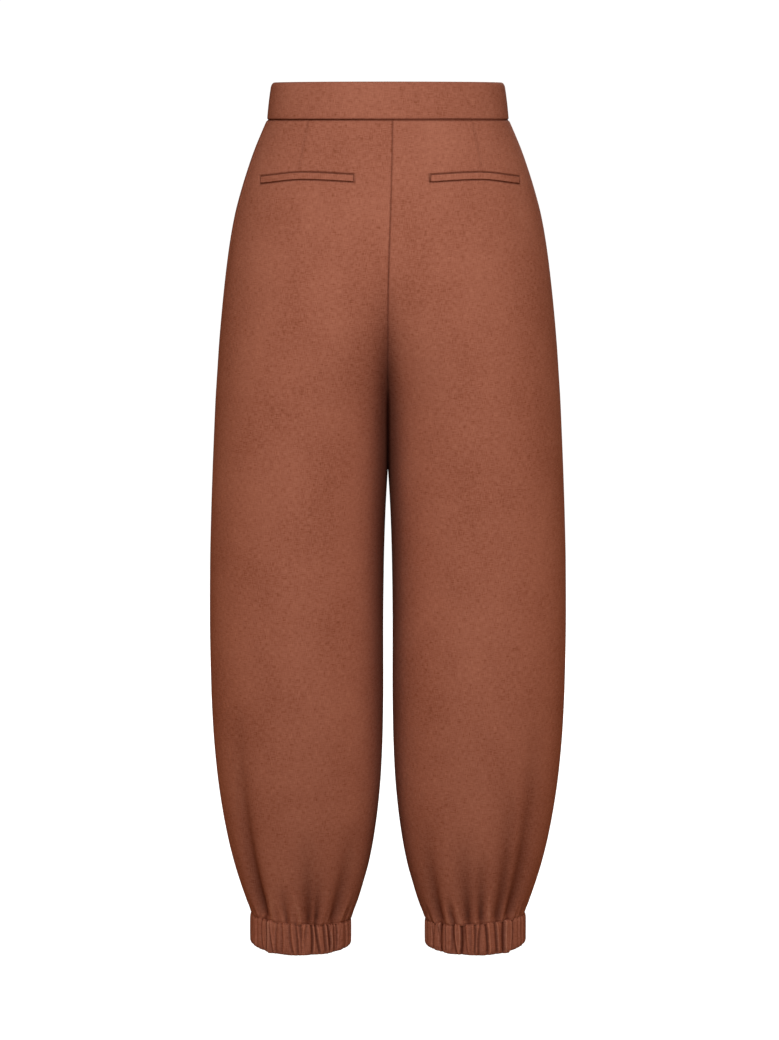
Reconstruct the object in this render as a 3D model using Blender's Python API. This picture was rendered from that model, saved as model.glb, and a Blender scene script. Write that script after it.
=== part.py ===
"""Linen trousers with barrel legs gathered into elastic cuffs, filled out as worn and hollow inside.

Metres, +Z up, wearer's front towards -Y and wearer's left towards +X. The origin is the middle of the waist,
half way up the waistband, where the wearer holds the garment up. Each cut piece is its own closed solid.
"""

from collections import namedtuple
from math import acos, atan2, cos, exp, floor, hypot, pi, radians, sin, sqrt

import bmesh
import bpy

LENGTH = 1.000  # top edge of the waistband to the cuffs' lower edge
WAISTBAND_HEIGHT = 0.042
CUFF_HEIGHT = 0.037
CROTCH_DROP = 0.330  # the crotch point, measured down from the top edge
SEAM_GAP = 0.0003
LIES_ON = 0.0006  # clearance of a piece that lies on a panel
ROUNDING = 1e-9  # what two ways of working out the same place may differ by

PANEL_WALL = 0.0015
WAISTBAND_WALL = 0.0030  # folded cloth with an interlining
CUFF_WALL = 0.0030  # folded cloth round the elastic
WELT_WALL = 0.0012
FLY_WALL = 0.0012

CUFF_TOP = LENGTH - CUFF_HEIGHT
CUFF_SEAM_TILT = 0.0035  # the cuff seam is this much higher at the leg's outer side, and lower at its inner side
TILT_BEGINS = 0.880
HEM_DROP = CUFF_TOP - SEAM_GAP

# The upper part sits slightly turned on the figure, so the centre seams lean and one side seam shows from behind.
SEAM_LEAN = 0.0051
LEAN_ENDS = 0.270
SIDE_SEAM_TURN = {"left": radians(12), "right": radians(3)}
SIDE_TURN_FADES = (0.120, 0.400)

# The centre seams turn under between the legs along a rounded curve that ends at the crotch point.
CROTCH_CURVE_BEGINS = 0.296
CROWDED_SHARE = 0.95  # near the crotch, how much of a panel's width its outer columns take
CROWDING_BEGINS = 0.235  # below everything that lies on the panels

# A leg's section at each drop below the top edge: how far it reaches out and in from the centre plane, and its
# depth to the back and to the front. A negative inner reaches over the centre plane, which cuts the oval: the
# panels are sewn together there on the rise, and press flat against each other just below the crotch.
Section = namedtuple("Section", "drop outer inner back front")
SECTIONS = [
    Section(WAISTBAND_HEIGHT, 0.1375, -0.1375, 0.0970, 0.0940),
    Section(0.0540, 0.1428, -0.1424, 0.1005, 0.0965),
    Section(0.0760, 0.1520, -0.1500, 0.1075, 0.1008),
    Section(0.0990, 0.1601, -0.1545, 0.1135, 0.1038),
    Section(0.1220, 0.1673, -0.1550, 0.1185, 0.1060),
    Section(0.1500, 0.1747, -0.1490, 0.1235, 0.1078),
    Section(0.1840, 0.1809, -0.1350, 0.1272, 0.1090),
    Section(0.2240, 0.1862, -0.1060, 0.1290, 0.1098),
    Section(0.2700, 0.1910, -0.0680, 0.1272, 0.1092),
    Section(0.3000, 0.1936, -0.0440, 0.1243, 0.1080),
    Section(CROTCH_DROP, 0.1957, -0.0250, 0.1210, 0.1066),
    Section(0.3600, 0.1977, -0.0125, 0.1180, 0.1055),
    Section(0.3900, 0.1992, -0.0055, 0.1155, 0.1045),
    Section(0.4200, 0.2006, -0.0017, 0.1131, 0.1037),
    Section(0.4500, 0.2019, 0.0006, 0.1110, 0.1030),
    Section(0.5000, 0.2037, 0.0032, 0.1080, 0.1020),
    Section(0.5500, 0.2050, 0.0046, 0.1055, 0.1012),
    Section(0.6200, 0.2056, 0.0053, 0.1030, 0.1000),
    Section(0.6900, 0.2046, 0.0052, 0.0995, 0.0975),
    Section(0.7400, 0.2026, 0.0058, 0.0955, 0.0940),
    Section(0.7900, 0.1986, 0.0077, 0.0895, 0.0885),
    Section(0.8300, 0.1934, 0.0110, 0.0835, 0.0825),
    Section(0.8700, 0.1862, 0.0163, 0.0760, 0.0750),
    Section(0.9000, 0.1790, 0.0221, 0.0692, 0.0683),
    Section(0.9250, 0.1715, 0.0289, 0.0625, 0.0617),
    Section(0.9450, 0.1646, 0.0350, 0.0567, 0.0560),
    Section(0.9580, 0.1598, 0.0401, 0.0530, 0.0522),
    Section(0.9680, 0.1580, 0.0438, 0.0508, 0.0500),
]

# The waistband and a cuff, down from their upper edges. inset is how far a rounded edge stands in from the face.
Band = namedtuple("Band", "drop half_width back front inset")
WAISTBAND = [
    Band(0.0000, 0.1322, 0.0926, 0.0896, 0.0012),
    Band(0.0016, 0.1326, 0.0930, 0.0900, 0.0000),
    Band(0.0210, 0.1349, 0.0950, 0.0920, 0.0000),
    Band(WAISTBAND_HEIGHT - SEAM_GAP, 0.1374, 0.0969, 0.0939, 0.0000),
]
Cuff = namedtuple("Cuff", "drop outer inner back front ridge")
CUFF = [
    Cuff(0.0000, 0.1584, 0.0446, 0.0510, 0.0502, 0.0008),
    Cuff(0.0050, 0.1594, 0.0438, 0.0522, 0.0514, 0.0011),
    Cuff(0.0310, 0.1592, 0.0440, 0.0520, 0.0512, 0.0012),
    Cuff(CUFF_HEIGHT, 0.1566, 0.0464, 0.0497, 0.0489, 0.0009),
]

# Folds that rise from the gathered hems. The angles, at a fold's foot and at its top, run from the leg's outer
# side and are positive towards the back; depth and width are at the hem, and they and the length are millimetres.
Fold = namedtuple("Fold", "leg angle top depth width length")
FOLDS = [
    Fold("left", 43, 44, 6.0, 10, 210),
    Fold("left", 75, 75, 2.0, 6, 40),
    Fold("left", 104, 94, 3.2, 8, 105),
    Fold("left", 134, 132, 3.6, 9, 100),
    Fold("left", -35, -38, 4.2, 10, 160),
    Fold("left", -64, -62, 2.4, 7, 70),
    Fold("left", -91, -97, 3.4, 8, 125),
    Fold("left", -117, -116, 2.2, 7, 55),
    Fold("left", -146, -140, 4.0, 9, 140),
    Fold("right", 49, 50, 3.8, 10, 195),
    Fold("right", 61, 69, 2.6, 8, 160),
    Fold("right", 85, 85, 3.8, 7, 80),
    Fold("right", 100, 99, 2.4, 7, 90),
    Fold("right", 120, 120, 2.0, 6, 38),
    Fold("right", 139, 131, 4.6, 9, 105),
    Fold("right", -41, -44, 4.6, 10, 175),
    Fold("right", -70, -69, 2.6, 7, 60),
    Fold("right", -97, -92, 3.2, 8, 110),
    Fold("right", -126, -130, 3.0, 8, 85),
    Fold("right", -152, -147, 3.4, 9, 130),
]
GATHER_WAVES = 20  # short puckers round each hem, between the folds
GATHER_HEIGHT = 0.0013
GATHER_REACH = 0.038
CUFF_WAVES = 32
CUFF_SLOW_WAVES = 21
WAVE_START = {"left": 0.4, "right": 2.3}  # where the uneven spacing of the waves starts on each leg

# A leg panel's rows: drops with few columns, then drops near the hem with three times as many.
RISE_ROWS = (0.060, 0.084, 0.115, 0.152, 0.192, 0.232, 0.268, 0.294, 0.312, 0.324)
LEG_ROWS = (CROTCH_DROP, 0.350, 0.385, 0.430, 0.490, 0.560, 0.635, 0.705, 0.760)
HEM_ROWS = (0.800, 0.838, 0.870, 0.898, 0.920, 0.939, 0.953, HEM_DROP)
WIDE_ROWS = (WAISTBAND_HEIGHT + SEAM_GAP, *RISE_ROWS, *LEG_ROWS)
WIDE_COLUMNS = 14
OUTER_COLUMNS = 11 / 14  # the share of the columns that stays on the leg's round part
HEM_COLUMNS = 3 * WIDE_COLUMNS
CUFF_COLUMNS = 160
WAISTBAND_COLUMNS = 72

# The upper edge of a back welt, from the centre seam towards the side: it bows up a little on the flared hip.
Edge = namedtuple("Edge", "reach drop")
WELT = [Edge(0.0430, 0.1022), Edge(0.0980, 0.0997), Edge(0.1445, 0.1047)]
WELT_HEIGHT = 0.0088
WELT_COLUMNS = 12

# The front fly laps over the centre front seam, and its lower end curves in towards the seam.
FLY_WIDTH = 0.034
FLY_OVERLAP = 0.0045
FLY_LENGTH = 0.160
FLY_CURVE = 0.046  # height of the curved lower end
FLY_NARROWEST = 0.009
FLY_ROWS = 13
FLY_COLUMNS = 6

# The waistband's end steps out and laps over its start at the centre front.
LAP_ANGLE = radians(16)
LAP_STEP_ANGLE = radians(8)

SIDES = {"left": 1, "right": -1}
FACES = {"back": 1, "front": -1}

COLOURS = {
    "panel linen": (0.300, 0.098, 0.054, 1),
    "waistband linen": (0.330, 0.112, 0.062, 1),
    "cuff linen": (0.230, 0.075, 0.042, 1),
    "welt linen": (0.345, 0.120, 0.068, 1),
    "fly linen": (0.320, 0.108, 0.060, 1),
}


def linen(name):
    """A matt woven cloth of this name's colour."""
    material = bpy.data.materials.new(name)
    material.use_nodes = True
    shader = material.node_tree.nodes["Principled BSDF"]
    shader.inputs["Base Color"].default_value = COLOURS[name]
    shader.inputs["Roughness"].default_value = 0.85
    shader.inputs["Metallic"].default_value = 0.0
    return material


def smooth_step(value, start, end):
    """0 before start, 1 after end, and an S between them."""
    share = min(1.0, max(0.0, (value - start) / (end - start)))
    return share * share * (3 - 2 * share)


def read(table, place):
    """A table's row at this value of its first column, on a smooth curve that never swings past the rows."""
    last = len(table) - 1
    low = max([i for i in range(last) if table[i][0] <= place], default=0)
    span = table[low + 1][0] - table[low][0]
    share = (place - table[low][0]) / span

    def rise(column, i):
        return (table[i + 1][column] - table[i][column]) / (table[i + 1][0] - table[i][0])

    def slope(column, i):
        if i in (0, last):
            return rise(column, min(i, last - 1))
        before, after = rise(column, i - 1), rise(column, i)
        return 2 * before * after / (before + after) if before * after > 0 else 0.0

    values = []
    for column in range(1, len(table[0])):
        bend = slope(column, low) * (1 - share) - slope(column, low + 1) * share
        eased = share * share * (3 - 2 * share)
        height = table[low][column] * (1 - eased) + table[low + 1][column] * eased
        values.append(height + bend * span * share * (1 - share))
    return type(table[0])(place, *values)


def oval(centre, half_width, back, front, angle):
    """A point of an oval and its outward direction; the angle runs from +x and is positive towards the back."""
    depth = back if angle >= 0 else front
    x, y = centre + half_width * cos(angle), depth * sin(angle)
    across, along = cos(angle) / half_width, sin(angle) / depth
    size = hypot(across, along)
    return x, y, across / size, along / size


def middle(section):
    """The centre and half width of a leg's section."""
    return (section.outer + section.inner) / 2, (section.outer - section.inner) / 2


def to_world(side, x, y, drop):
    """A point given by its reach from the centre plane, its depth and its drop."""
    return SIDES[side] * x, y, WAISTBAND_HEIGHT / 2 - drop


def uneven(side, angle):
    """The angle with its even steps drawn together and apart, so that the waves round a hem differ."""
    start = WAVE_START[side]
    return angle + 0.07 * sin(3 * angle + start) + 0.04 * sin(5 * angle + 2.2 * start)


def hem_relief(side, angle, height, section):
    """How far the cloth stands out of the plain leg at this height above the hem: long folds and short puckers."""
    around = (middle(section)[1] + section.back) / 2
    relief = 0.0
    for fold in FOLDS:
        share = 1 - height / (fold.length / 1000)
        if fold.leg != side or share <= 0:
            continue
        foot = fold.angle * share + fold.top * (1 - share)
        width = fold.width / 1000 * (1.9 - 0.9 * share)
        across = (angle - radians(foot)) * around / width
        relief -= fold.depth / 1000 * share**1.4 * (1 - 0.9 * across * across) * exp(-across * across)
    pucker = max(0.0, 1 - height / GATHER_REACH) ** 1.5
    return relief + GATHER_HEIGHT * pucker * sin(GATHER_WAVES * uneven(side, angle))


def leg_point(side, angle, drop, out=0.0):
    """A point of the leg panels' outer face, or of a surface that lies out from it."""
    tilted = drop - CUFF_SEAM_TILT * smooth_step(drop, TILT_BEGINS, CUFF_TOP) * cos(angle)
    section = read(SECTIONS, tilted)
    centre, half_width = middle(section)
    x, y, away_x, away_y = oval(centre, half_width, section.back, section.front, angle)
    if x < SEAM_GAP / 2 - ROUNDING:
        x, away_x, away_y = SEAM_GAP / 2, -1.0, 0.0
    out += hem_relief(side, angle, HEM_DROP - drop, section)
    x, y = x + out * away_x, y + out * away_y
    lean = SEAM_LEAN * (1 - smooth_step(drop, WAISTBAND_HEIGHT, LEAN_ENDS))
    swing = lean * max(0.0, 1 - (x / section.outer) ** 2) * (1 if y < 0 else -1)
    return to_world(side, x + SIDES[side] * swing, y, tilted)


def panel_edges(side, face, drop):
    """The angles of a panel's side seam, of the centre plane's cut and of the panel's inner edge, all from 0 up."""
    section = read(SECTIONS, drop)
    centre, half_width = middle(section)
    gap = SEAM_GAP / 2 / (section.back if face == "back" else section.front)
    side_seam = SIDE_SEAM_TURN[side] * (1 - smooth_step(drop, *SIDE_TURN_FADES))
    cut = min(acos(max(-1.0, (SEAM_GAP / 2 - centre) / half_width)), pi - gap)
    under = min(1.0, max(0.0, (drop - CROTCH_CURVE_BEGINS) / (CROTCH_DROP - CROTCH_CURVE_BEGINS)))
    inner_edge = cut + (pi - gap - cut) * (1 - sqrt(1 - under * under))
    return FACES[face] * side_seam + gap, cut, inner_edge


def panel_angles(side, face, drop, columns):
    """The angles of a panel's columns: the last few cover the part that turns under between the legs."""
    start, cut, end = panel_edges(side, face, drop)
    crowded = smooth_step(drop, CROWDING_BEGINS, CROTCH_CURVE_BEGINS)
    share = OUTER_COLUMNS + (CROWDED_SHARE - OUTER_COLUMNS) * crowded
    bend = min(start + (cut - start) * share, pi * OUTER_COLUMNS)
    outer = round(columns * OUTER_COLUMNS)
    angles = [start + (bend - start) * i / outer for i in range(outer)]
    angles += [bend + (end - bend) * i / (columns - outer) for i in range(columns - outer + 1)]
    return [FACES[face] * angle for angle in angles]


def panel_rows(side, face, out=0.0):
    """The points of a leg panel row by row, from the waist seam down to the hem."""
    rows = []
    for drops, columns in ((WIDE_ROWS, WIDE_COLUMNS), (HEM_ROWS, HEM_COLUMNS)):
        for drop in drops:
            angles = panel_angles(side, face, drop, columns)
            rows.append([leg_point(side, angle, drop, out) for angle in angles])
    return rows


def strip_faces(above, below, closed):
    """Faces between two rows of vertices, where the lower row has as many columns or three times as many."""
    faces = []
    if len(above) == len(below):
        for i in range(len(above) if closed else len(above) - 1):
            after = (i + 1) % len(above)
            faces.append((above[i], above[after], below[after], below[i]))
        return faces
    for i in range(len(above) - 1):
        first, second = above[i], above[i + 1]
        a, b, c, d = below[3 * i : 3 * i + 4]
        faces += [(first, b, a), (first, second, c, b), (second, d, c)]
    return faces


def wall(name, outer_rows, inner_rows, material, closed=False):
    """A closed cloth wall between two sheets of points; closed joins each row into a ring."""
    built = bmesh.new()
    outer = [[built.verts.new(point) for point in row] for row in outer_rows]
    inner = [[built.verts.new(point) for point in row] for row in inner_rows]
    strips = [pair for sheet in (outer, inner) for pair in zip(sheet, sheet[1:])]
    strips += [(outer[0], inner[0]), (outer[-1], inner[-1])]
    if not closed:
        strips += [([row[i] for row in outer], [row[i] for row in inner]) for i in (0, -1)]
    for above, below in strips:
        for face in strip_faces(above, below, closed):
            built.faces.new(face)
    bmesh.ops.triangulate(built, faces=built.faces[:], quad_method="FIXED")
    bmesh.ops.recalc_face_normals(built, faces=built.faces)
    mesh = bpy.data.meshes.new(name)
    built.to_mesh(mesh)
    built.free()
    mesh.shade_smooth()
    mesh.set_sharp_from_angle(angle=radians(50))
    mesh.materials.append(material)
    trousers.objects.link(bpy.data.objects.new(name, mesh))


def leg_panels(material):
    """Fronts and backs, left and right, each from the waist seam to the cuff seam."""
    for side in SIDES:
        for face in FACES:
            outer, inner = panel_rows(side, face), panel_rows(side, face, -PANEL_WALL)
            wall(f"{face}_{side}", outer, inner, material)


def waistband(material):
    """One folded strip round the waist, whose end laps over its start at the centre front."""
    start = -pi / 2 - LAP_ANGLE / 2
    end = start + 2 * pi + LAP_ANGLE
    lap_begins = end - LAP_ANGLE
    sheets = []
    for is_inner in (False, True):
        rows = []
        for band in WAISTBAND:
            inward = WAISTBAND_WALL - band.inset if is_inner else band.inset
            row = []
            for i in range(WAISTBAND_COLUMNS + 1):
                turn = start + (end - start) * i / WAISTBAND_COLUMNS
                lap = (WAISTBAND_WALL + LIES_ON) * smooth_step(turn, lap_begins - LAP_STEP_ANGLE, lap_begins)
                angle = atan2(sin(turn), cos(turn))
                x, y, away_x, away_y = oval(0.0, band.half_width, band.back, band.front, angle)
                out = lap - inward
                row.append(to_world("left", x + out * away_x, y + out * away_y, band.drop))
            rows.append(row)
        sheets.append(rows)
    wall("waistband", *sheets, material)


def cuff_point(side, angle, row, inward):
    """A point of a cuff's wall: the outer face is ridged where the cloth gathers on the elastic."""
    share = row.drop / CUFF_HEIGHT
    x, y, away_x, away_y = oval(*middle(row), row.back, row.front, angle)
    bent = angle + 0.10 * (share - 0.5) * sin(7 * angle)
    ridge = sin(CUFF_WAVES * uneven(side, bent)) + 0.4 * sin(CUFF_SLOW_WAVES * uneven(side, angle) + 1)
    out = -inward if inward else row.ridge * ridge
    drop = CUFF_TOP + row.drop - CUFF_SEAM_TILT * cos(angle) * (1 - share)
    return to_world(side, x + out * away_x, y + out * away_y, drop)


def cuffs(material):
    """Each cuff is a ring of cloth folded over its elastic."""
    angles = [-pi + 2 * pi * (i + 0.5) / CUFF_COLUMNS for i in range(CUFF_COLUMNS)]
    for side in SIDES:
        outer = [[cuff_point(side, angle, row, 0.0) for angle in angles] for row in CUFF]
        inner = [[cuff_point(side, angle, row, CUFF_WALL) for angle in angles] for row in (CUFF[0], CUFF[-1])]
        wall(f"cuff_{side}", outer, inner, material, closed=True)


def on_panel(sheet, side, face, reach, drop):
    """The point of a panel's sheet at this reach from the centre plane and this drop, on its flat facets."""
    row = max(i for i in range(len(WIDE_ROWS) - 1) if WIDE_ROWS[i] <= drop)
    share = (drop - WIDE_ROWS[row]) / (WIDE_ROWS[row + 1] - WIDE_ROWS[row])
    centre, half_width = middle(read(SECTIONS, drop))
    start, _, end = panel_edges(side, face, drop)
    column = (acos((reach - centre) / half_width) - start) / (end - start) * WIDE_COLUMNS
    column = min(WIDE_COLUMNS - ROUNDING, column)
    left, part = floor(column), column - floor(column)

    def along(points):
        return [a * (1 - part) + b * part for a, b in zip(points[left], points[left + 1])]

    return [a * (1 - share) + b * share for a, b in zip(along(sheet[row]), along(sheet[row + 1]))]


def welts(material):
    """The two back pockets show as single welts, set into the back panels."""
    first, last = WELT[0].reach, WELT[-1].reach
    reaches = [first + (last - first) * i / WELT_COLUMNS for i in range(WELT_COLUMNS + 1)]
    for side in SIDES:
        sheets = []
        for out in (LIES_ON + WELT_WALL, LIES_ON):
            panel = panel_rows(side, "back", out)
            sheets.append(
                [
                    [on_panel(panel, side, "back", reach, read(WELT, reach).drop + down) for reach in reaches]
                    for down in (0.0, WELT_HEIGHT / 2, WELT_HEIGHT)
                ]
            )
        wall(f"welt_{side}", *sheets, material)


def fly_lap(material):
    """The lap that covers the front opening, on the wearer's right, with its edge just past the centre seam."""
    top = WIDE_ROWS[0] + SEAM_GAP
    sheets = []
    for out in (LIES_ON + FLY_WALL, LIES_ON):
        panels = {side: panel_rows(side, "front", out) for side in SIDES}
        rows = []
        for i in range(FLY_ROWS + 1):
            down = FLY_LENGTH * i / FLY_ROWS
            past = max(0.0, down - (FLY_LENGTH - FLY_CURVE)) / FLY_CURVE
            width = FLY_NARROWEST + (FLY_WIDTH + FLY_OVERLAP - FLY_NARROWEST) * sqrt(1 - past * past)
            row = []
            for j in range(FLY_COLUMNS + 1):
                across = FLY_OVERLAP - width * j / FLY_COLUMNS
                side = "left" if across >= 0 else "right"
                row.append(on_panel(panels[side], side, "front", max(abs(across), SEAM_GAP), top + down))
            rows.append(row)
        sheets.append(rows)
    wall("fly_lap", *sheets, material)


for leftover in list(bpy.data.objects):
    bpy.data.objects.remove(leftover)
trousers = bpy.data.collections.new("linen trousers")
bpy.context.scene.collection.children.link(trousers)

leg_panels(linen("panel linen"))
waistband(linen("waistband linen"))
cuffs(linen("cuff linen"))
welts(linen("welt linen"))
fly_lap(linen("fly linen"))
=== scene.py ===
import math

import bpy
import numpy as np
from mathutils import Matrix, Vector


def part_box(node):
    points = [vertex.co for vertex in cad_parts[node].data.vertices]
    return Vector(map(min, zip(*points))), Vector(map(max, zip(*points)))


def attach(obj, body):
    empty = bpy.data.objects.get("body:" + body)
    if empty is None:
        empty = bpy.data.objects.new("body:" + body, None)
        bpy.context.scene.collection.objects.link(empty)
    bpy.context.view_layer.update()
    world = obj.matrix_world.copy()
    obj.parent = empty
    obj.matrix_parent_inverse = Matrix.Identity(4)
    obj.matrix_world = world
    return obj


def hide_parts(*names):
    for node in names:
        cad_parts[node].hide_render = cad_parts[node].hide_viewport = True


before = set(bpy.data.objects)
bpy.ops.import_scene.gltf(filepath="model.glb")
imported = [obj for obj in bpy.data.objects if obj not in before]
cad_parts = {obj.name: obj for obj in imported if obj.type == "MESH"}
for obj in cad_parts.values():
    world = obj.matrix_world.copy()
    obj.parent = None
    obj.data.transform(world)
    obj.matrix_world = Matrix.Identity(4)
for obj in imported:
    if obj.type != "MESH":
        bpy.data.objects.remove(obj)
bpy.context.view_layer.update()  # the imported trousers: ten cloth solids that move as one body
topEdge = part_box("waistband")[1].z  # every drop in this file is measured down from here
sideSign = {"left": 1, "right": -1}  # the wearer's left is towards +X
faceSign = {"back": 1, "front": -1}
sheets = {}

# What the cloth measures, in metres. The solids' walls are thicker than it, and the shells keep their
# outer face.
cloth = {
    "thickness": 0.0008,
    "seamGap": -0.0002,  # the shells' edges pass each other a little, so that no light comes in
    "shift": {"left": 0.0, "right": 1.7},  # each leg is cut from another place of the cloth
    "frontShift": 0.9,
}
# Painted shade at each place, as a share of the dark shade colour from 0 to 1; below 0 a painted
# highlight pales the cloth instead.
paintedShades = {
    "sideSeam": 0.32,
    "waistSeam": 0.8,
    "hemSeam": 0.2,
    "centreSeam": 0.4,
    "dart": 0.2,
    "pocketSlit": 0.75,
    "barTack": 0.35,
    "waistbandEdge": 0.55,
    "weltEdge": 0.5,
    "flyEdge": 0.5,
    "cuff": 0.18,
    "cuffEdge": 0.2,
    "cuffCrease": 0.8,
}


def smoothStep(value, start, end):
    # 0 before start, 1 after end, and an S between them
    share = np.clip((value - start) / (end - start), 0, 1)
    return share * share * (3 - 2 * share)


def bell(distance, width):
    return np.exp(-((distance / width) ** 2))


def roundedEdge(distance, radius):
    # a quarter circle's height, from 0 at an edge to 1 at this distance inside it
    return np.sqrt(np.clip(1 - (1 - np.clip(distance / radius, 0, 1)) ** 2, 0, 1))


def ovalPoint(turn, centre, half, depth):
    # a point of an upright oval seen from above, and its outward direction there
    x, y = centre + half * np.cos(turn), depth * np.sin(turn)
    awayX, awayY = np.cos(turn) / half, np.sin(turn) / depth
    size = np.hypot(awayX, awayY)
    return x, y, awayX / size, awayY / size


def readTable(rows, place):
    # A smooth curve through each column of a table, read at these values of its first column. Between two
    # rows it is a cubic whose end slopes are the harmonic means of the rises beside them, so that it
    # never swings past the rows.
    table = np.array(rows, float)
    knots, values = table[:, 0], table[:, 1:]
    rise = np.diff(values, axis=0) / np.diff(knots)[:, None]
    product, total = rise[:-1] * rise[1:], rise[:-1] + rise[1:]
    inner = np.where(product > 0, 2 * product / np.where(product > 0, total, 1), 0)
    slope = np.vstack([rise[:1], inner, rise[-1:]])
    place = np.asarray(place, float)
    low = np.clip(np.searchsorted(knots, place, side="right") - 1, 0, len(knots) - 2)
    span = (knots[low + 1] - knots[low])[..., None]
    share = (place - knots[low])[..., None] / span
    eased = share * share * (3 - 2 * share)
    bend = slope[low] * (1 - share) - slope[low + 1] * share
    found = values[low] * (1 - eased) + values[low + 1] * eased + bend * span * share * (1 - share)
    return np.moveaxis(found, -1, 0)


def valley(distance, width):
    # a soft trough with slightly raised shoulders: (1 - 0.9 a^2) exp(-a^2), where a is distance over width
    across = distance / width
    return (1 - 0.9 * across**2) * np.exp(-(across**2))


def limited(relief, most):
    # what sinks more than a little levels off smoothly before this depth: -most tanh(-relief / most)
    return np.where(relief < 0, -most * np.tanh(-relief / most), relief)


def gridMesh(name, points, uv, paintedShading, flip=False, wrapColumns=False, wrapRows=False, caps=False):
    # Quads between neighbours of a grid of points, rows by columns by three. Rows run down and columns
    # run anticlockwise seen from above for faces that point outwards. uv has one more row or column where
    # it wraps.
    rowCount, columnCount = points.shape[:2]
    row, column = np.meshgrid(
        np.arange(rowCount if wrapRows else rowCount - 1),
        np.arange(columnCount if wrapColumns else columnCount - 1),
        indexing="ij",
    )
    row, column = row.ravel(), column.ravel()
    order = ((0, 0), (1, 0), (1, 1), (0, 1))
    if flip:
        order = order[::-1]
    rows = np.stack([row + down for down, along in order], axis=1)
    columns = np.stack([column + along for down, along in order], axis=1)
    quads = ((rows % rowCount) * columnCount + columns % columnCount).tolist()
    corners = uv[rows.ravel(), columns.ravel()]
    if caps:  # the two ends of a profile that is carried along an open path
        ends = [np.arange(rowCount) * columnCount, np.arange(rowCount) * columnCount + columnCount - 1]
        first, last = ends[0][::-1], ends[1]
        if flip:
            first, last = first[::-1], last[::-1]
        quads += [first.tolist(), last.tolist()]
        endUv = uv[:rowCount]
        corners = np.vstack([corners, endUv[first // columnCount, 0], endUv[last // columnCount, -1]])
    mesh = bpy.data.meshes.new(name)
    mesh.from_pydata(points.reshape(-1, 3).tolist(), [], quads)
    layer = mesh.uv_layers.new(name="weave")
    layer.data.foreach_set("uv", corners.astype(np.float32).ravel())
    # the painted shade of each point, which the material mixes in: above 0 it darkens, below 0 it pales as a
    # painted highlight
    shade = mesh.attributes.new("paintedShade", "FLOAT", "POINT")
    shade.data.foreach_set("value", np.broadcast_to(paintedShading, points.shape[:2]).astype(np.float32).ravel())
    mesh.shade_smooth()
    piece = bpy.data.objects.new(name, mesh)
    bpy.context.scene.collection.objects.link(piece)
    return piece


def thicken(piece):
    wall = piece.modifiers.new("wall", "SOLIDIFY")
    wall.thickness = cloth["thickness"]
    wall.offset = -1  # inwards, so that the points are the outer face


def finishPiece(piece, material, node, flat):
    piece.data.materials.append(material)
    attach(piece, "root")
    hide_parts(node)
    sheets[piece.name] = flat


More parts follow.
